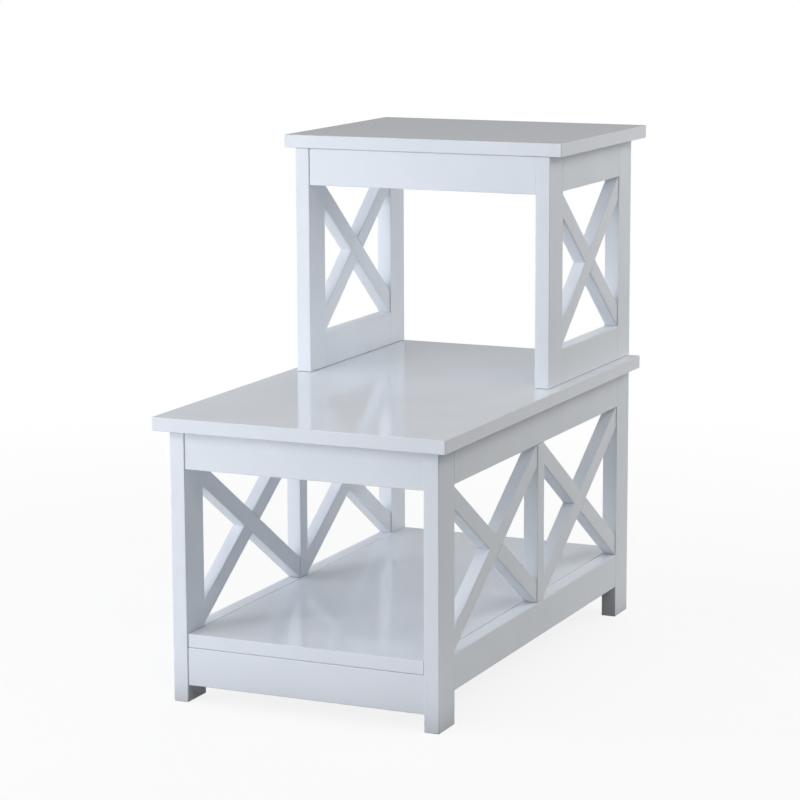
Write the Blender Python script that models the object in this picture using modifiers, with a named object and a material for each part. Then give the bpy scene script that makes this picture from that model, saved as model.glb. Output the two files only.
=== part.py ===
"""A white step end table: a long lower table and a short upper one standing on the rear of its top.

The frame is +Z up, -Y to the front and +X to the right, with the origin on the floor under the middle of the
whole table. All sizes are in metres. Nothing on the table moves.
"""

import collections
import math

import bmesh
import bpy
from mathutils import Matrix, Vector

# Overall sizes
TABLE_WIDTH = 0.352
LOWER_TOP_DEPTH = 0.605
LOWER_HEIGHT = 0.325
TOTAL_HEIGHT = 0.609
UPPER_FRAME_DEPTH = 0.273
SIDE_OVERHANG = 0.014
LOWER_FRONT_OVERHANG = 0.015
UPPER_FRONT_OVERHANG = 0.001
UPPER_REAR_OVERHANG = 0.014

# Boards and stock
PANEL_THICKNESS = 0.0155
STOCK_THICKNESS = 0.018
LEG_DEPTH = 0.042
TOP_RAIL_HEIGHT = 0.043
BOTTOM_RAIL_HEIGHT = 0.041
STILE_WIDTH = 0.0195
CROSS_RAIL_HEIGHT = 0.0435
SLAT_WIDTH = 0.0215
SLAT_RECESS = 0.00125
FACE_RECESS = 0.0012
STRETCHER_CLEARANCE = 0.0197

# Joinery
FIT_GAP = 0.0003
SHELF_END_CLEARANCE = 0.0008
EDGE_EASE = 0.0011
JOINT_EASE = 0.0004
EASE_SEGMENTS = 2
TENON_LENGTH = 0.012
TENON_THICKNESS = 0.007
TENON_SHOULDER = 0.005
DOWEL_DIAMETER = 0.008
DOWEL_CHAMFER = 0.0008
DOWEL_IN_RAIL = 0.018
DOWEL_SPACING = 0.002
LEG_WALL = 0.006
SCREW_DIAMETER = 0.004
SCREW_HEAD_RIM = 0.002
SCREW_HEAD_HEIGHT = 0.0026
SCREW_TIP = 0.004
SCREW_COVER = 0.004
COUNTERBORE_CLEARANCE = 0.001
COUNTERBORE_DEPTH = 0.018
CUT_PAST = 0.002
ROUND_SIDES = 16
MERGE_DISTANCE = 0.00001
SHARP_ANGLE = math.radians(60)
FLUSH_ANGLE = math.radians(20)

# Planes that the pieces share
OVERALL_DEPTH = LOWER_TOP_DEPTH + UPPER_REAR_OVERHANG
FRONT_EDGE = -OVERALL_DEPTH / 2
FRAME_FRONT = FRONT_EDGE + LOWER_FRONT_OVERHANG
FRAME_REAR = FRONT_EDGE + LOWER_TOP_DEPTH
UPPER_FRONT = FRAME_REAR - UPPER_FRAME_DEPTH
FRAME_OUTER = TABLE_WIDTH / 2 - SIDE_OVERHANG
FRAME_INNER = FRAME_OUTER - STOCK_THICKNESS
FRAME_MIDDLE = FRAME_OUTER - STOCK_THICKNESS / 2
SLAT_THICKNESS = STOCK_THICKNESS - 2 * SLAT_RECESS
LEG_TOP = LOWER_HEIGHT - PANEL_THICKNESS - FIT_GAP
POST_FOOT = LOWER_HEIGHT + FIT_GAP
POST_TOP = TOTAL_HEIGHT - PANEL_THICKNESS - FIT_GAP
STRETCHER_TOP = STRETCHER_CLEARANCE + CROSS_RAIL_HEIGHT
SHELF_FOOT = STRETCHER_TOP + FIT_GAP
SHELF_TOP = SHELF_FOOT + PANEL_THICKNESS
SIDES = {"left": -1, "right": 1}
FORWARD = Vector((0, -1, 0))
BACKWARD = Vector((0, 1, 0))
UPWARD = Vector((0, 0, 1))
RIGHTWARD = Vector((1, 0, 0))

# Solids to take out of each piece, kept by the piece's name until all of them are known
HOLES = collections.defaultdict(list)


def clear_scene():
    for obj in list(bpy.data.objects):
        bpy.data.objects.remove(obj, do_unlink=True)


def new_collection(name):
    collection = bpy.data.collections.new(name)
    bpy.context.scene.collection.children.link(collection)
    return collection


def finish(name, colour, roughness, metallic=0.0):
    """A plain surface finish."""
    material = bpy.data.materials.new(name)
    material.use_nodes = True
    shader = material.node_tree.nodes["Principled BSDF"]
    shader.inputs["Base Color"].default_value = (*colour, 1.0)
    shader.inputs["Roughness"].default_value = roughness
    shader.inputs["Metallic"].default_value = metallic
    return material


clear_scene()
TABLE = new_collection("step_end_table")
CUTTERS = new_collection("cutters")
FRAME_PAINT = finish("frame_paint", (0.83, 0.84, 0.87), 0.38)
PANEL_PAINT = finish("panel_paint", (0.83, 0.84, 0.87), 0.22)
BEECH = finish("dowel_beech", (0.62, 0.44, 0.27), 0.6)
ZINC = finish("screw_zinc", (0.66, 0.67, 0.69), 0.35, 1.0)


def group(name, height):
    """An empty that carries the pieces of one level."""
    empty = bpy.data.objects.new(name, None)
    empty.location.z = height
    TABLE.objects.link(empty)
    return empty


LOWER_TABLE = group("lower_table", 0.0)
UPPER_TABLE = group("upper_table", LOWER_HEIGHT)


def add_box(bm, low, high):
    """A box between two corners."""
    low, high = Vector(low), Vector(high)
    place = Matrix.Translation((low + high) / 2) @ Matrix.Diagonal((*(high - low), 1.0))
    bmesh.ops.create_cube(bm, size=1.0, matrix=place)


def add_rod(bm, start, end, diameter):
    """A round rod between two points."""
    start, end = Vector(start), Vector(end)
    along = end - start
    place = Matrix.Translation((start + end) / 2) @ along.to_track_quat("Z", "Y").to_matrix().to_4x4()
    bmesh.ops.create_cone(
        bm,
        cap_ends=True,
        segments=ROUND_SIDES,
        radius1=diameter / 2,
        radius2=diameter / 2,
        depth=along.length,
        matrix=place,
    )


def add_slanted_box(bm, centre, size, slope):
    """A box whose ends stay upright while it climbs by slope along Y."""
    thickness, breadth, rise = size
    shear = Matrix(
        (
            (thickness, 0, 0, 0),
            (0, breadth, 0, 0),
            (0, slope * breadth, rise, 0),
            (0, 0, 0, 1),
        )
    )
    bmesh.ops.create_cube(bm, size=1.0, matrix=Matrix.Translation(centre) @ shear)


def shape_mesh(name, shape, centre):
    """A mesh of one shape, given as its function and the values it takes, with its origin at centre."""
    bm = bmesh.new()
    add_shape, *values = shape
    add_shape(bm, *values)
    bmesh.ops.translate(bm, verts=bm.verts, vec=-centre)
    mesh = bpy.data.meshes.new(name)
    bm.to_mesh(mesh)
    bm.free()
    return mesh


def piece(name, mesh, centre, material, parent):
    """One piece of the table, placed under its level."""
    mesh.materials.append(material)
    obj = bpy.data.objects.new(name, mesh)
    obj.parent = parent
    obj.location = centre - parent.location
    TABLE.objects.link(obj)
    return obj


def helper(name, shape):
    """A solid that only cuts or joins."""
    obj = bpy.data.objects.new(name, shape_mesh(name, shape, Vector()))
    obj.hide_render = True
    obj.display_type = "WIRE"
    CUTTERS.objects.link(obj)
    return obj


def boolean(obj, other, operation):
    modifier = obj.modifiers.new(other.name, "BOOLEAN")
    modifier.operation = operation
    modifier.solver = "EXACT"
    modifier.object = other


def ease_edges(obj, crisp):
    """Rounds the edges, but only a little round the faces that look along a crisp direction."""
    bm = bmesh.new()
    bm.from_mesh(obj.data)
    weight = bm.edges.layers.float.new("bevel_weight_edge")
    for edge in bm.edges:
        normals = [face.normal for face in edge.link_faces]
        is_crisp = any(normal.angle(way) < FLUSH_ANGLE for normal in normals for way in crisp)
        edge[weight] = JOINT_EASE / EDGE_EASE if is_crisp else 1.0
    bm.to_mesh(obj.data)
    bm.free()
    bevel = obj.modifiers.new("eased_edges", "BEVEL")
    bevel.limit_method = "WEIGHT"
    bevel.width = EDGE_EASE
    bevel.segments = EASE_SEGMENTS


def board(name, low, high, material, parent, crisp=()):
    """A square board between two corners."""
    centre = (Vector(low) + Vector(high)) / 2
    obj = piece(name, shape_mesh(name, (add_box, low, high), centre), centre, material, parent)
    ease_edges(obj, crisp)
    return obj


def grown(low, high):
    """Two corners moved apart by the fit gap, for the hole that a piece goes into."""
    gap = Vector((FIT_GAP, FIT_GAP, FIT_GAP))
    return Vector(low) - gap, Vector(high) + gap


def tenoned(obj, low, high, along, across, into):
    """Gives a board a tenon at both ends, and its neighbours the mortises for them."""
    reach = TENON_LENGTH * along - TENON_SHOULDER * across
    core_low, core_high = Vector(low) - reach, Vector(high) + reach
    middle = (core_low.x + core_high.x) / 2
    core_low.x = middle - TENON_THICKNESS / 2
    core_high.x = middle + TENON_THICKNESS / 2
    boolean(obj, helper("tenons_" + obj.name, (add_box, core_low, core_high)), "UNION")
    for neighbour in into:
        HOLES[neighbour].append((add_box, *grown(core_low, core_high)))


def slat_slope(breadth, height, width):
    """The slope of a slat whose upright ends reach from one corner of a bay to the opposite one."""
    diagonal = math.sqrt(breadth**2 + height**2 - width**2)
    return (height * breadth - width * diagonal) / (breadth**2 - width**2)


def crossed_slats(level, bay_name, side_name, bay_low, bay_high, parent):
    """Two slats across a bay, halved into each other where they cross."""
    side = SIDES[side_name]
    breadth = bay_high[0] - bay_low[0] - 2 * FIT_GAP
    height = bay_high[1] - bay_low[1] - 2 * FIT_GAP
    slope = slat_slope(breadth, height, SLAT_WIDTH)
    rise = height - slope * breadth
    centre = Vector((side * FRAME_MIDDLE, (bay_low[0] + bay_high[0]) / 2, (bay_low[1] + bay_high[1]) / 2))
    half = SLAT_THICKNESS / 2 + CUT_PAST
    for way, climb, notch_side in (("rising", slope, -side), ("falling", -slope, side)):
        name = f"{level}_slat_{bay_name}{way}_{side_name}"
        slat = (add_slanted_box, centre, (SLAT_THICKNESS, breadth, rise), climb)
        obj = piece(name, shape_mesh(name, slat, centre), centre, FRAME_PAINT, parent)
        ease_edges(obj, (FORWARD, BACKWARD))
        notch_centre = centre + Vector((notch_side * (half - FIT_GAP / 2) / 2, 0, 0))
        notch_size = (half + FIT_GAP / 2, breadth, rise + 2 * FIT_GAP)
        HOLES[name].append((add_slanted_box, notch_centre, notch_size, -climb))


def side_frame(level, side_name, leg, front, rear, foot, top, rail_top, bays, parent):
    """Two uprights, two rails, a stile between bays, and crossed slats in each bay."""
    low_x, high_x = sorted((SIDES[side_name] * FRAME_INNER, SIDES[side_name] * FRAME_OUTER))
    uprights = {
        "front": (front, front + LEG_DEPTH, BACKWARD),
        "rear": (rear - LEG_DEPTH, rear, FORWARD),
    }
    names = []
    for end, (low_y, high_y, bay_way) in uprights.items():
        names.append(f"{leg}_{end}_{side_name}")
        board(names[-1], (low_x, low_y, foot), (high_x, high_y, top), FRAME_PAINT, parent, (bay_way,))
    rail_front = front + LEG_DEPTH + FIT_GAP
    rail_rear = rear - LEG_DEPTH - FIT_GAP
    rails = {"bottom": (rail_top - BOTTOM_RAIL_HEIGHT, rail_top), "top": (top - TOP_RAIL_HEIGHT, top)}
    rail_names = []
    for place, (low_z, high_z) in rails.items():
        rail_names.append(f"{level}_{place}_rail_{side_name}")
        corners = (low_x, rail_front, low_z), (high_x, rail_rear, high_z)
        rail = board(rail_names[-1], *corners, FRAME_PAINT, parent, (FORWARD, BACKWARD))
        tenoned(rail, *corners, BACKWARD, UPWARD, names)
    bay_foot, bay_top = rail_top, top - TOP_RAIL_HEIGHT
    bay_front, bay_rear = front + LEG_DEPTH, rear - LEG_DEPTH
    if len(bays) == 1:
        crossed_slats(level, bays[0], side_name, (bay_front, bay_foot), (bay_rear, bay_top), parent)
        return
    middle = (bay_front + bay_rear) / 2
    stile_front, stile_rear = middle - STILE_WIDTH / 2, middle + STILE_WIDTH / 2
    corners = (low_x, stile_front, bay_foot + FIT_GAP), (high_x, stile_rear, bay_top - FIT_GAP)
    stile = board(f"centre_stile_{side_name}", *corners, FRAME_PAINT, parent, (UPWARD, -UPWARD))
    tenoned(stile, *corners, UPWARD, BACKWARD, rail_names)
    spans = ((bay_front, stile_front), (stile_rear, bay_rear))
    for bay_name, (low_y, high_y) in zip(bays, spans):
        crossed_slats(level, bay_name, side_name, (low_y, bay_foot), (high_y, bay_top), parent)


def round_finish(obj):
    """Smooth shading for a round piece, with its ends kept sharp."""
    obj.data.shade_smooth()
    obj.data.set_sharp_from_angle(angle=SHARP_ANGLE)


def dowel(name, start, end, parent, into):
    """A round dowel with chamfered ends, and its hole in each piece that it joins."""
    start, end = Vector(start), Vector(end)
    centre = (start + end) / 2
    mesh = shape_mesh(name, (add_rod, start, end, DOWEL_DIAMETER), centre)
    obj = piece(name, mesh, centre, BEECH, parent)
    round_finish(obj)
    chamfer = obj.modifiers.new("chamfered_ends", "BEVEL")
    chamfer.limit_method = "ANGLE"
    chamfer.angle_limit = SHARP_ANGLE
    chamfer.width = DOWEL_CHAMFER
    chamfer.segments = 1
    past = (end - start).normalized() * FIT_GAP
    for neighbour in into:
        HOLES[neighbour].append((add_rod, start - past, end + past, DOWEL_DIAMETER + 2 * FIT_GAP))


def cross_rail_span(face):
    """The Y span, low then high, of a cross rail set just behind a frame's front or rear face."""
    if face == FRAME_REAR:
        return face - FACE_RECESS - STOCK_THICKNESS, face - FACE_RECESS
    return face + FACE_RECESS, face + FACE_RECESS + STOCK_THICKNESS


def cross_rail(name, leg, end, face, top, parent):
    """A rail from side frame to side frame, just behind the uprights' faces, with a dowel at each end."""
    low_y, high_y = cross_rail_span(face)
    reach = FRAME_INNER - FIT_GAP
    corners = (-reach, low_y, top - CROSS_RAIL_HEIGHT), (reach, high_y, top)
    board(name, *corners, FRAME_PAINT, parent, (RIGHTWARD, -RIGHTWARD))
    middle_y = (low_y + high_y) / 2
    middle_z = top - CROSS_RAIL_HEIGHT / 2
    for side_name, side in SIDES.items():
        dowel(
            f"dowel_{name}_{side_name}",
            (side * (FRAME_INNER - DOWEL_IN_RAIL), middle_y, middle_z),
            (side * (FRAME_OUTER - LEG_WALL), middle_y, middle_z),
            parent,
            (name, f"{leg}_{end}_{side_name}"),
        )


def turned(name, profile, place, material, parent):
    """A solid turned about Z from a profile of radius and height that runs from its top down."""
    mesh = bpy.data.meshes.new(name)
    bm = bmesh.new()
    points = [bm.verts.new((radius, 0, height)) for radius, height in profile]
    for upper, lower in zip(points, points[1:]):
        bm.edges.new((upper, lower))
    bm.to_mesh(mesh)
    bm.free()
    obj = piece(name, mesh, Vector(place), material, parent)
    turn = obj.modifiers.new("turned", "SCREW")
    turn.steps = turn.render_steps = ROUND_SIDES
    turn.use_merge_vertices = True
    turn.merge_threshold = MERGE_DISTANCE


def rail_screw(name, rail, panel, face, rail_top, parent):
    """A screw up through a cross rail, its head in a counterbore, into the panel that lies on the rail."""
    y = sum(cross_rail_span(face)) / 2
    rail_foot = rail_top - CROSS_RAIL_HEIGHT
    seat = rail_foot + COUNTERBORE_DEPTH
    bearing = seat - FIT_GAP
    length = rail_top + FIT_GAP + PANEL_THICKNESS - SCREW_COVER - bearing
    shank = SCREW_DIAMETER / 2
    head = shank + SCREW_HEAD_RIM
    profile = (
        (0, length),
        (shank, length - SCREW_TIP),
        (shank, 0),
        (head, 0),
        (head, -SCREW_HEAD_HEIGHT),
        (0, -SCREW_HEAD_HEIGHT),
    )
    turned(name, profile, (0, y, bearing), ZINC, parent)
    tip = bearing + length + FIT_GAP
    shank_hole = (add_rod, (0, y, seat - CUT_PAST), (0, y, tip), SCREW_DIAMETER + 2 * FIT_GAP)
    mouth = (0, y, rail_foot - CUT_PAST)
    counterbore = (add_rod, mouth, (0, y, seat), 2 * (head + COUNTERBORE_CLEARANCE))
    HOLES[rail] += [counterbore, shank_hole]
    HOLES[panel].append(shank_hole)


def post_dowel(end, side_name, below):
    """A long dowel from an upper post through the lower top into the side frame below.

    It stands midway between the post's outer face and the tip of the rail's tenon, and stops above the dowel
    of the rear apron.
    """
    inset = (LEG_DEPTH - TENON_LENGTH) / 2
    y = UPPER_FRONT + inset if end == "front" else FRAME_REAR - inset
    x = SIDES[side_name] * FRAME_MIDDLE
    depth = (CROSS_RAIL_HEIGHT - DOWEL_DIAMETER) / 2 - DOWEL_SPACING
    dowel(
        f"post_dowel_{end}_{side_name}",
        (x, y, LEG_TOP - depth),
        (x, y, POST_FOOT + depth),
        UPPER_TABLE,
        (below, "lower_top", f"post_{end}_{side_name}"),
    )


def panels():
    """The two tops and the shelf."""
    half = TABLE_WIDTH / 2
    board(
        "lower_top",
        (-half, FRONT_EDGE, LOWER_HEIGHT - PANEL_THICKNESS),
        (half, FRAME_REAR, LOWER_HEIGHT),
        PANEL_PAINT,
        LOWER_TABLE,
    )
    board(
        "upper_top",
        (-half, UPPER_FRONT - UPPER_FRONT_OVERHANG, TOTAL_HEIGHT - PANEL_THICKNESS),
        (half, FRAME_REAR + UPPER_REAR_OVERHANG, TOTAL_HEIGHT),
        PANEL_PAINT,
        UPPER_TABLE,
    )
    reach = FRAME_INNER - SHELF_END_CLEARANCE
    board(
        "bottom_shelf",
        (-reach, FRAME_FRONT + FACE_RECESS, SHELF_FOOT),
        (reach, FRAME_REAR - FACE_RECESS, SHELF_TOP),
        PANEL_PAINT,
        LOWER_TABLE,
        (RIGHTWARD, -RIGHTWARD),
    )


def side_frames():
    for side_name in SIDES:
        side_frame(
            level="lower",
            side_name=side_name,
            leg="leg",
            front=FRAME_FRONT,
            rear=FRAME_REAR,
            foot=0.0,
            top=LEG_TOP,
            rail_top=SHELF_TOP,
            bays=("front_", "rear_"),
            parent=LOWER_TABLE,
        )
        side_frame(
            level="upper",
            side_name=side_name,
            leg="post",
            front=UPPER_FRONT,
            rear=FRAME_REAR,
            foot=POST_FOOT,
            top=POST_TOP,
            rail_top=POST_FOOT + BOTTOM_RAIL_HEIGHT,
            bays=("",),
            parent=UPPER_TABLE,
        )


def cross_rails():
    cross_rail("lower_front_apron", "leg", "front", FRAME_FRONT, LEG_TOP, LOWER_TABLE)
    cross_rail("lower_rear_apron", "leg", "rear", FRAME_REAR, LEG_TOP, LOWER_TABLE)
    cross_rail("front_stretcher", "leg", "front", FRAME_FRONT, STRETCHER_TOP, LOWER_TABLE)
    cross_rail("rear_stretcher", "leg", "rear", FRAME_REAR, STRETCHER_TOP, LOWER_TABLE)
    cross_rail("upper_front_apron", "post", "front", UPPER_FRONT, POST_TOP, UPPER_TABLE)
    cross_rail("upper_rear_apron", "post", "rear", FRAME_REAR, POST_TOP, UPPER_TABLE)


def fixings():
    for side_name in SIDES:
        post_dowel("front", side_name, f"lower_top_rail_{side_name}")
        post_dowel("rear", side_name, f"leg_rear_{side_name}")
    screws = (
        ("shelf_screw_front", "front_stretcher", "bottom_shelf", FRAME_FRONT, STRETCHER_TOP, LOWER_TABLE),
        ("shelf_screw_rear", "rear_stretcher", "bottom_shelf", FRAME_REAR, STRETCHER_TOP, LOWER_TABLE),
        ("lower_top_screw", "lower_front_apron", "lower_top", FRAME_FRONT, LEG_TOP, LOWER_TABLE),
        ("upper_top_screw_front", "upper_front_apron", "upper_top", UPPER_FRONT, POST_TOP, UPPER_TABLE),
        ("upper_top_screw_rear", "upper_rear_apron", "upper_top", FRAME_REAR, POST_TOP, UPPER_TABLE),
    )
    for screw in screws:
        rail_screw(*screw)


def cut_holes():
    """Takes the holes out of each piece, one after the other."""
    for name, shapes in HOLES.items():
        for number, shape in enumerate(shapes, 1):
            boolean(bpy.data.objects[name], helper(f"hole_{number}_{name}", shape), "DIFFERENCE")


panels()
side_frames()
cross_rails()
fixings()
cut_holes()
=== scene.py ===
"""Looks of the white step end table: its paint, its camera and its studio light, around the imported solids."""
import math

import bpy
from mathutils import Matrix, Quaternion, Vector

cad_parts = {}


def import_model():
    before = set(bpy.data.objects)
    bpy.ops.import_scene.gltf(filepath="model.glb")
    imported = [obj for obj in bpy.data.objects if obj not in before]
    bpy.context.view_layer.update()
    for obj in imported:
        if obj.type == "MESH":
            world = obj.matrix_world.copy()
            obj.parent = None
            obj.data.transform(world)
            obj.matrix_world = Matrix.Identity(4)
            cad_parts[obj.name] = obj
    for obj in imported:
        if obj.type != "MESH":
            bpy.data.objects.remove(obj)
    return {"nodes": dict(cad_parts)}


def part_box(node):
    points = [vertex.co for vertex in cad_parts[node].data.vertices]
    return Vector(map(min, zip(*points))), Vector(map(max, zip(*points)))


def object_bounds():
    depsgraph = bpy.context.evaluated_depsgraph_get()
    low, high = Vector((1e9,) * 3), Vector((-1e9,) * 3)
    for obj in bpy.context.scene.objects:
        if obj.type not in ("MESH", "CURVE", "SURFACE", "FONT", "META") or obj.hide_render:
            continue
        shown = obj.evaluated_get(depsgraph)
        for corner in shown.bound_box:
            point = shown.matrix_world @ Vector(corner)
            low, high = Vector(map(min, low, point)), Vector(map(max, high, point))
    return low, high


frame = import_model()
cad_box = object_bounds()

# Camera, in metres and degrees; azimuth is counted from the front towards the right
CAMERA_AZIMUTH = 24.454
CAMERA_ELEVATION = 10.169
CAMERA_ROLL = -0.23
CAMERA_DISTANCE = 3.2984
CAMERA_TARGET = Vector((-0.0165, 0.0, 0.3040))
LENS_MM = 126.4
SENSOR_MM = 36.0

# Lighter and darker colour of each material, in linear colour
PAINT_COLOURS = ((0.872, 0.905, 0.945, 1.0), (0.846, 0.880, 0.920, 1.0))
BEECH_COLOURS = ((0.66, 0.48, 0.30, 1.0), (0.52, 0.35, 0.20, 1.0))
ZINC_COLOURS = ((0.70, 0.71, 0.73, 1.0), (0.55, 0.56, 0.58, 1.0))

# Least and most roughness of each material, and the paint's specular levels
PANEL_ROUGHNESS = (0.072, 0.088)
FRAME_ROUGHNESS = (0.31, 0.37)
BEECH_ROUGHNESS = (0.50, 0.65)
ZINC_ROUGHNESS = (0.28, 0.42)
PANEL_SPECULAR = 0.5
FRAME_SPECULAR = 0.35

# Sizes and depths of the materials' features, in metres; grain has a size along it and two across
PAINT_GRAIN_SIZE = (0.090, 0.0032, 0.0032)
PAINT_GRAIN_DEPTH = 0.000012
PEEL_SIZE = 0.0022
PEEL_DEPTH = 0.000010
MOTTLE_SIZE = 0.060
BEECH_GRAIN_SIZE = (0.030, 0.0012, 0.0012)
BEECH_GRAIN_DEPTH = 0.00003
CLOUD_SIZE = 0.0025
CLOUD_DEPTH = 0.00001

# Noise: how many finer layers each pattern has, their strength, and the range that most values lie in
PAINT_GRAIN_DETAIL = 3.0
PEEL_DETAIL = 1.0
MOTTLE_DETAIL = 2.0
BEECH_GRAIN_DETAIL = 4.0
CLOUD_DETAIL = 3.0
FINER_STRENGTH = 0.55
NOISE_RANGE = (0.3, 0.7)

# Step of the noise's seed from one piece to the next, so that no two pieces have the same pattern
SEED_STEP = 1.7

# Turns that lay the grain along an axis, in radians
ALONG_X = (0.0, 0.0, 0.0)
ALONG_Y = (0.0, 0.0, math.radians(90))
ALONG_Z = (0.0, math.radians(-90), 0.0)

# Width of a slat's face, in metres, as in the part's source
SLAT_WIDTH = 0.0215

# Shading of the eased edges, in metres, square metres and radians, and the pull of large faces on it
JOIN_DISTANCE = 0.00001
SAME_AREA = 0.000001
SHARP_ANGLE = math.radians(52)
LARGE_FACE_PULL = 100

# Floor: its size in metres, its grey where it is seen, and its roughness
FLOOR_SIZE = 60.0
FLOOR_PALE = 0.90
FLOOR_ROUGHNESS = 0.9

# Share of light that the floor throws back up: in the open, and lowered as painted shade under the table and to
# its right
BOUNCE_OPEN = 0.75
BOUNCE_UNDER_PAINTED_SHADE = 0.05
BOUNCE_RIGHT_PAINTED_SHADE = 0.20

# Where the share changes to that painted shade: in half sizes of the footprint, and in metres to the right of
# its middle
PAINTED_SHADE_UNDER_EDGE = (1.0, 1.12)
PAINTED_SHADE_RIGHT_EDGE = (0.15, 0.45)

# Share of plain white in the floor, near the table and far from it, and where it changes, in metres
FLOOR_GLOW = (0.86, 1.0)
FLOOR_GLOW_EDGE = (0.5, 1.8)

# Grey card: degrees, metres, its glow at the foot and above, and where that changes, in shares of its height
CARD_AZIMUTH = 180 + CAMERA_AZIMUTH
CARD_ELEVATION = 22
CARD_DISTANCE = 9.0
CARD_SIZE = (18.0, 7.6)
CARD_GLOW = (0.31, 0.46)
CARD_GLOW_EDGE = (0.18, 0.29)

# Colours of the light, in linear colour
WHITE = (1.0, 1.0, 1.0, 1.0)
COOL = (0.97, 1.0, 1.06)
NEUTRAL = (1.0, 1.0, 1.0)

# Point that the lamps and the card face, in metres
LIT_POINT = Vector((0.0, 0.0, 0.3))

# Lamps: azimuth and elevation in degrees, distance and side in metres, power in watts, and colour
LAMPS = {
    "front_softbox": (-25, 20, 2.6, 1.4, 20.2, COOL),
    "low_softbox": (-50, 9, 1.9, 1.0, 11.0, COOL),
    "left_softbox": (-75, 25, 2.2, 1.4, 11.5, COOL),
    "right_softbox": (140, 20, 2.2, 1.0, 10.8, NEUTRAL),
    "rim_softbox": (155, 12, 1.8, 1.0, 1.6, NEUTRAL),
    "high_softbox": (100, 40, 2.2, 1.2, 8.2, NEUTRAL),
    "front_fill": (45, 40, 2.4, 1.2, 8.6, NEUTRAL),
    "back_softbox": (200, 30, 2.5, 1.4, 11.5, NEUTRAL),
    "top_softbox": (10, 80, 2.4, 1.4, 8.2, COOL),
}


def add(tree, kind, inputs=None, **settings):
    """A node with its settings; an input is a value or a socket to link from."""
    made = tree.nodes.new(kind)
    for key, value in settings.items():
        setattr(made, key, value)
    for key, value in (inputs or {}).items():
        if isinstance(value, bpy.types.NodeSocket):
            tree.links.new(value, made.inputs[key])
        else:
            made.inputs[key].default_value = value
    return made


def new_material(name):
    """A material, its node tree and its shader."""
    material = bpy.data.materials.new(name)
    material.use_nodes = True
    tree = material.node_tree
    return material, tree, tree.nodes["Principled BSDF"]


def object_place(tree):
    """Where a point is on its object, in metres."""
    return add(tree, "ShaderNodeTexCoord").outputs["Object"]


def combine(tree, operation, first, second):
    """One value from two, such as the larger of them."""
    return add(tree, "ShaderNodeMath", {0: first, 1: second}, operation=operation).outputs["Value"]


def ramp(tree, value, span, ends, shape="LINEAR"):
    """Goes from the first to the second of two ends as a value goes over a span."""
    return add(
        tree,
        "ShaderNodeMapRange",
        {
            "Value": value,
            "From Min": span[0],
            "From Max": span[1],
            "To Min": ends[0],
            "To Max": ends[1],
        },
        interpolation_type=shape,
    ).outputs["Result"]


def noise(tree, place, size, detail, seed=0.0):
    """Noise whose features are about size across."""
    return add(
        tree,
        "ShaderNodeTexNoise",
        {
            "Vector": place,
            "W": seed,
            "Scale": 1.0 / size,
            "Detail": detail,
            "Roughness": FINER_STRENGTH,
        },
        noise_dimensions="4D",
    ).outputs["Fac"]


def grain(tree, place, turn, size, detail, seed=0.0):
    """Noise that is drawn out along a turn."""
    drawn_out = add(
        tree,
        "ShaderNodeMapping",
        {"Vector": place, "Rotation": turn, "Scale": size},
        vector_type="TEXTURE",
    ).outputs["Vector"]
    return noise(tree, drawn_out, 1.0, detail, seed)


def bump(tree, height, depth, normal=None):
    """A normal that follows a pattern of some depth, on top of another normal where there is one."""
    inputs = {"Height": height, "Strength": 1.0, "Distance": depth}
    if normal:
        inputs["Normal"] = normal
    return add(tree, "ShaderNodeBump", inputs).outputs["Normal"]


def vary(tree, shader, pattern, colours, roughness):
    """Lets a shader's colour and roughness follow a pattern."""
    share = ramp(tree, pattern, NOISE_RANGE, (0.0, 1.0))
    colour = add(
        tree,
        "ShaderNodeMix",
        {"Factor": share, "A": colours[0], "B": colours[1]},
        data_type="RGBA",
    )
    gloss = ramp(tree, pattern, NOISE_RANGE, roughness)
    tree.links.new(colour.outputs["Result"], shader.inputs["Base Color"])
    tree.links.new(gloss, shader.inputs["Roughness"])


def paint(name, roughness, specular, seed, turn=None):
    """Sprayed white paint: orange peel, a faint mottle, and a trace of the grain where a turn is given."""
    material, tree, shader = new_material(name)
    place = object_place(tree)
    mottle = noise(tree, place, MOTTLE_SIZE, MOTTLE_DETAIL, seed)
    peel = noise(tree, place, PEEL_SIZE, PEEL_DETAIL, seed)
    normal = bump(tree, peel, PEEL_DEPTH)
    if turn is not None:
        lines = grain(tree, place, turn, PAINT_GRAIN_SIZE, PAINT_GRAIN_DETAIL, seed)
        normal = bump(tree, lines, PAINT_GRAIN_DEPTH, normal)
    vary(tree, shader, mottle, PAINT_COLOURS, roughness)
    tree.links.new(normal, shader.inputs["Normal"])
    shader.inputs["Specular IOR Level"].default_value = specular
    return material


def beech(name, turn):
    """Bare beech, straight grained."""
    material, tree, shader = new_material(name)
    lines = grain(tree, object_place(tree), turn, BEECH_GRAIN_SIZE, BEECH_GRAIN_DETAIL)
    vary(tree, shader, lines, BEECH_COLOURS, BEECH_ROUGHNESS)
    tree.links.new(bump(tree, lines, BEECH_GRAIN_DEPTH), shader.inputs["Normal"])
    return material


def zinc(name):
    """Bright zinc plating with a cloudy film."""
    material, tree, shader = new_material(name)
    cloud = noise(tree, object_place(tree), CLOUD_SIZE, CLOUD_DETAIL)
    vary(tree, shader, cloud, ZINC_COLOURS, ZINC_ROUGHNESS)
    tree.links.new(bump(tree, cloud, CLOUD_DEPTH), shader.inputs["Normal"])
    shader.inputs["Metallic"].default_value = 1.0
    return material


def slat_turn(name):
    """The turn that lays the grain along a slat, from the slat's own box."""
    low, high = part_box(name)
    breadth = high.y - low.y
    height = high.z - low.z
    diagonal = math.sqrt(breadth**2 + height**2 - SLAT_WIDTH**2)
    slope = (height * breadth - SLAT_WIDTH * diagonal) / (breadth**2 - SLAT_WIDTH**2)
    angle = math.atan(slope)
    return (0.0, -angle if "rising" in name else angle, math.radians(90))


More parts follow.
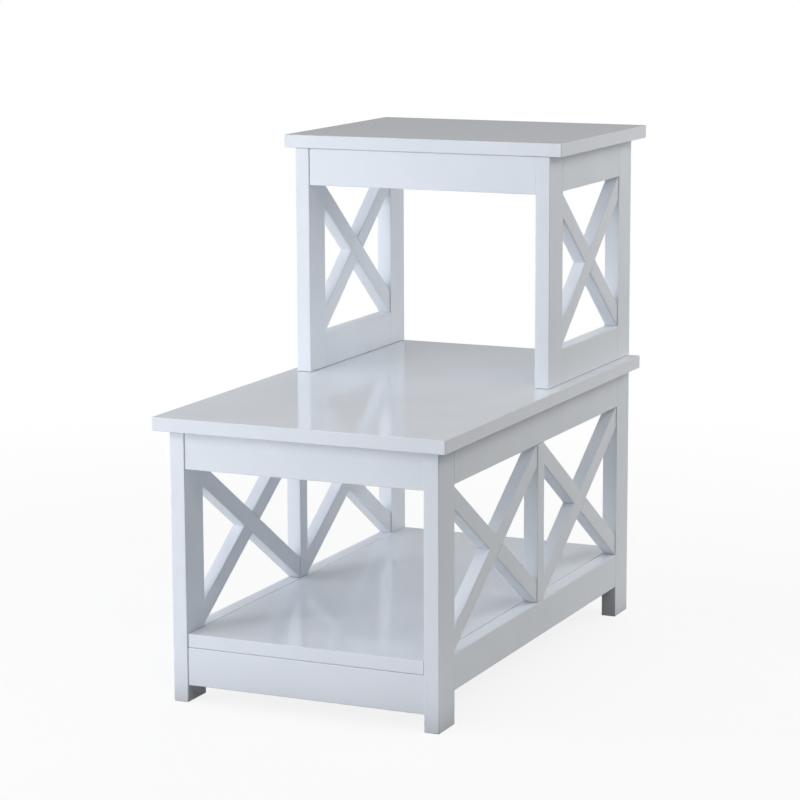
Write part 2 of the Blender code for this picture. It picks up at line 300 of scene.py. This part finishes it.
def grain_turn(name):
    """The turn that lays the grain along a frame piece."""
    if "slat" in name:
        return slat_turn(name)
    if "apron" in name or "stretcher" in name:
        return ALONG_X
    if "rail" in name:
        return ALONG_Y
    return ALONG_Z


def dress(name, obj, seed):
    """Gives a piece the material that its name calls for."""
    if "screw" in name:
        material = zinc("zinc_" + name)
    elif "dowel" in name:
        material = beech("beech_" + name, ALONG_Z if name.startswith("post") else ALONG_X)
    elif name in ("lower_top", "upper_top", "bottom_shelf"):
        material = paint("paint_" + name, PANEL_ROUGHNESS, PANEL_SPECULAR, seed)
    else:
        material = paint("paint_" + name, FRAME_ROUGHNESS, FRAME_SPECULAR, seed, grain_turn(name))
    obj.data.materials.clear()
    obj.data.materials.append(material)


def rounding():
    """A modifier's node group that joins the split facets and shades the eased edges as round."""
    group = bpy.data.node_groups.new("rounded_edges", "GeometryNodeTree")
    group.interface.new_socket("Geometry", in_out="INPUT", socket_type="NodeSocketGeometry")
    group.interface.new_socket("Geometry", in_out="OUTPUT", socket_type="NodeSocketGeometry")
    start = add(group, "NodeGroupInput").outputs["Geometry"]
    joined = add(group, "GeometryNodeMergeByDistance", {"Geometry": start, "Distance": JOIN_DISTANCE})
    faces = add(group, "GeometryNodeSetShadeSmooth", {"Geometry": joined.outputs["Geometry"]}, domain="FACE")
    angle = add(group, "GeometryNodeInputMeshEdgeAngle").outputs["Unsigned Angle"]
    soft = add(group, "FunctionNodeCompare", {"A": angle, "B": SHARP_ANGLE}, operation="LESS_THAN")
    edges = add(
        group,
        "GeometryNodeSetShadeSmooth",
        {"Geometry": faces.outputs["Geometry"], "Shade Smooth": soft.outputs["Result"]},
        domain="EDGE",
    )
    add(group, "NodeGroupOutput", {"Geometry": edges.outputs["Geometry"]})
    return group


def soften(obj, group):
    """Shades a piece's eased edges as round, with its flat faces kept flat."""
    obj.modifiers.new("rounded_edges", "NODES").node_group = group
    normals = obj.modifiers.new("flat_faces", "WEIGHTED_NORMAL")
    normals.mode = "FACE_AREA"
    normals.weight = LARGE_FACE_PULL
    normals.thresh = SAME_AREA
    normals.keep_sharp = True


def seen_rays(tree):
    """One for rays that show the background: from the camera, off gloss or through glass."""
    path = add(tree, "ShaderNodeLightPath").outputs
    direct = combine(tree, "MAXIMUM", path["Is Camera Ray"], path["Is Glossy Ray"])
    return combine(tree, "MAXIMUM", direct, path["Is Transmission Ray"])


def bounce_with_painted_shade(tree, place):
    """The share of light that the floor throws back up, darkened as painted shade under the table and to its
    right.
    """
    footprint = (cad_box[1][0], cad_box[1][1], 1.0)
    spread = add(tree, "ShaderNodeVectorMath", {0: place}, operation="ABSOLUTE").outputs["Vector"]
    shares = add(tree, "ShaderNodeVectorMath", {0: spread, 1: footprint}, operation="DIVIDE")
    share = add(tree, "ShaderNodeSeparateXYZ", {"Vector": shares.outputs["Vector"]}).outputs
    outside = combine(tree, "MAXIMUM", share["X"], share["Y"])
    rightward = add(tree, "ShaderNodeSeparateXYZ", {"Vector": place}).outputs["X"]
    # Painted shade: the floor's bounce colour is darkened under the table and to its right
    near = ramp(tree, outside, PAINTED_SHADE_UNDER_EDGE, (BOUNCE_UNDER_PAINTED_SHADE, BOUNCE_OPEN), "SMOOTHSTEP")
    side = ramp(tree, rightward, PAINTED_SHADE_RIGHT_EDGE, (BOUNCE_OPEN, BOUNCE_RIGHT_PAINTED_SHADE), "SMOOTHSTEP")
    return combine(tree, "MINIMUM", near, side)


def floor():
    """A plain white floor that still takes the table's shadow; the light it throws back up carries painted
    shade under the table and to its right.
    """
    bpy.ops.mesh.primitive_plane_add(size=FLOOR_SIZE)
    obj = bpy.context.object
    obj.name = "floor"
    material, tree, shader = new_material("floor_white_painted_shade")
    place = object_place(tree)
    seen = seen_rays(tree)
    # The bounce colour carries painted shade under the table and to its right; seen rays get the pale grey
    grey = add(tree, "ShaderNodeMix", {"Factor": seen, "A": bounce_with_painted_shade(tree, place), "B": FLOOR_PALE})
    tree.links.new(grey.outputs["Result"], shader.inputs["Base Color"])
    shader.inputs["Roughness"].default_value = FLOOR_ROUGHNESS
    shader.inputs["Specular IOR Level"].default_value = 0.0
    away = add(tree, "ShaderNodeVectorMath", {0: place}, operation="LENGTH").outputs["Value"]
    glow_share = ramp(tree, away, FLOOR_GLOW_EDGE, FLOOR_GLOW, "SMOOTHSTEP")
    glow = add(tree, "ShaderNodeEmission", {"Color": WHITE, "Strength": 1.0}).outputs["Emission"]
    share = combine(tree, "MULTIPLY", seen, glow_share)
    mix = add(tree, "ShaderNodeMixShader", {0: share, 1: shader.outputs["BSDF"], 2: glow})
    tree.links.new(mix.outputs["Shader"], tree.nodes["Material Output"].inputs["Surface"])
    obj.data.materials.append(material)


def world():
    """White where it is seen, with no light of its own on the table."""
    made = bpy.data.worlds.new("studio")
    made.use_nodes = True
    background = made.node_tree.nodes["Background"]
    background.inputs["Color"].default_value = WHITE
    made.node_tree.links.new(seen_rays(made.node_tree), background.inputs["Strength"])
    bpy.context.scene.world = made


def put(obj, centre, azimuth, elevation, distance):
    """Puts an object that far from a centre and aims it there; azimuth as the camera's."""
    turn = math.radians(azimuth)
    rise = math.radians(elevation)
    way = Vector((math.sin(turn) * math.cos(rise), -math.cos(turn) * math.cos(rise), math.sin(rise)))
    obj.location = centre + distance * way
    obj.rotation_mode = "QUATERNION"
    obj.rotation_quaternion = (centre - obj.location).to_track_quat("-Z", "Y")


def softbox(name, azimuth, elevation, distance, side, power, colour):
    """A square lamp that gloss doesn't mirror, so that the tops stay clear of glare from any side."""
    data = bpy.data.lights.new(name, "AREA")
    data.shape = "SQUARE"
    data.size = side
    data.energy = power
    data.color = colour
    obj = bpy.data.objects.new(name, data)
    put(obj, LIT_POINT, azimuth, elevation, distance)
    obj.visible_glossy = False
    bpy.context.scene.collection.objects.link(obj)


def card():
    """A grey card that the camera doesn't see and the glossy tops mirror, darker towards its foot."""
    bpy.ops.mesh.primitive_plane_add(size=1.0)
    obj = bpy.context.object
    obj.name = "back_card"
    obj.scale = (CARD_SIZE[0], CARD_SIZE[1], 1.0)
    put(obj, LIT_POINT, CARD_AZIMUTH, CARD_ELEVATION, CARD_DISTANCE)
    material, tree, shader = new_material("back_card_grey")
    tree.nodes.remove(shader)
    place = add(tree, "ShaderNodeTexCoord").outputs["Generated"]
    upward = add(tree, "ShaderNodeSeparateXYZ", {"Vector": place}).outputs["Y"]
    strength = ramp(tree, upward, CARD_GLOW_EDGE, CARD_GLOW)
    glow = add(tree, "ShaderNodeEmission", {"Color": WHITE, "Strength": strength})
    tree.links.new(glow.outputs["Emission"], tree.nodes["Material Output"].inputs["Surface"])
    obj.data.materials.append(material)
    obj.visible_camera = False


def camera():
    """The camera, at the photograph's viewing angle."""
    data = bpy.data.cameras.new("camera")
    data.lens = LENS_MM
    data.sensor_width = SENSOR_MM
    obj = bpy.data.objects.new("camera", data)
    put(obj, CAMERA_TARGET, CAMERA_AZIMUTH, CAMERA_ELEVATION, CAMERA_DISTANCE)
    roll = Quaternion((0.0, 0.0, 1.0), math.radians(CAMERA_ROLL))
    obj.rotation_quaternion = obj.rotation_quaternion @ roll
    bpy.context.scene.collection.objects.link(obj)
    bpy.context.scene.camera = obj


edge_group = rounding()
for number, (node_name, node_object) in enumerate(sorted(frame["nodes"].items())):
    dress(node_name, node_object, SEED_STEP * number)
    soften(node_object, edge_group)
floor()
world()
for lamp_name, lamp_settings in LAMPS.items():
    softbox(lamp_name, *lamp_settings)
card()
camera()
bpy.context.scene.view_settings.view_transform = "Standard"
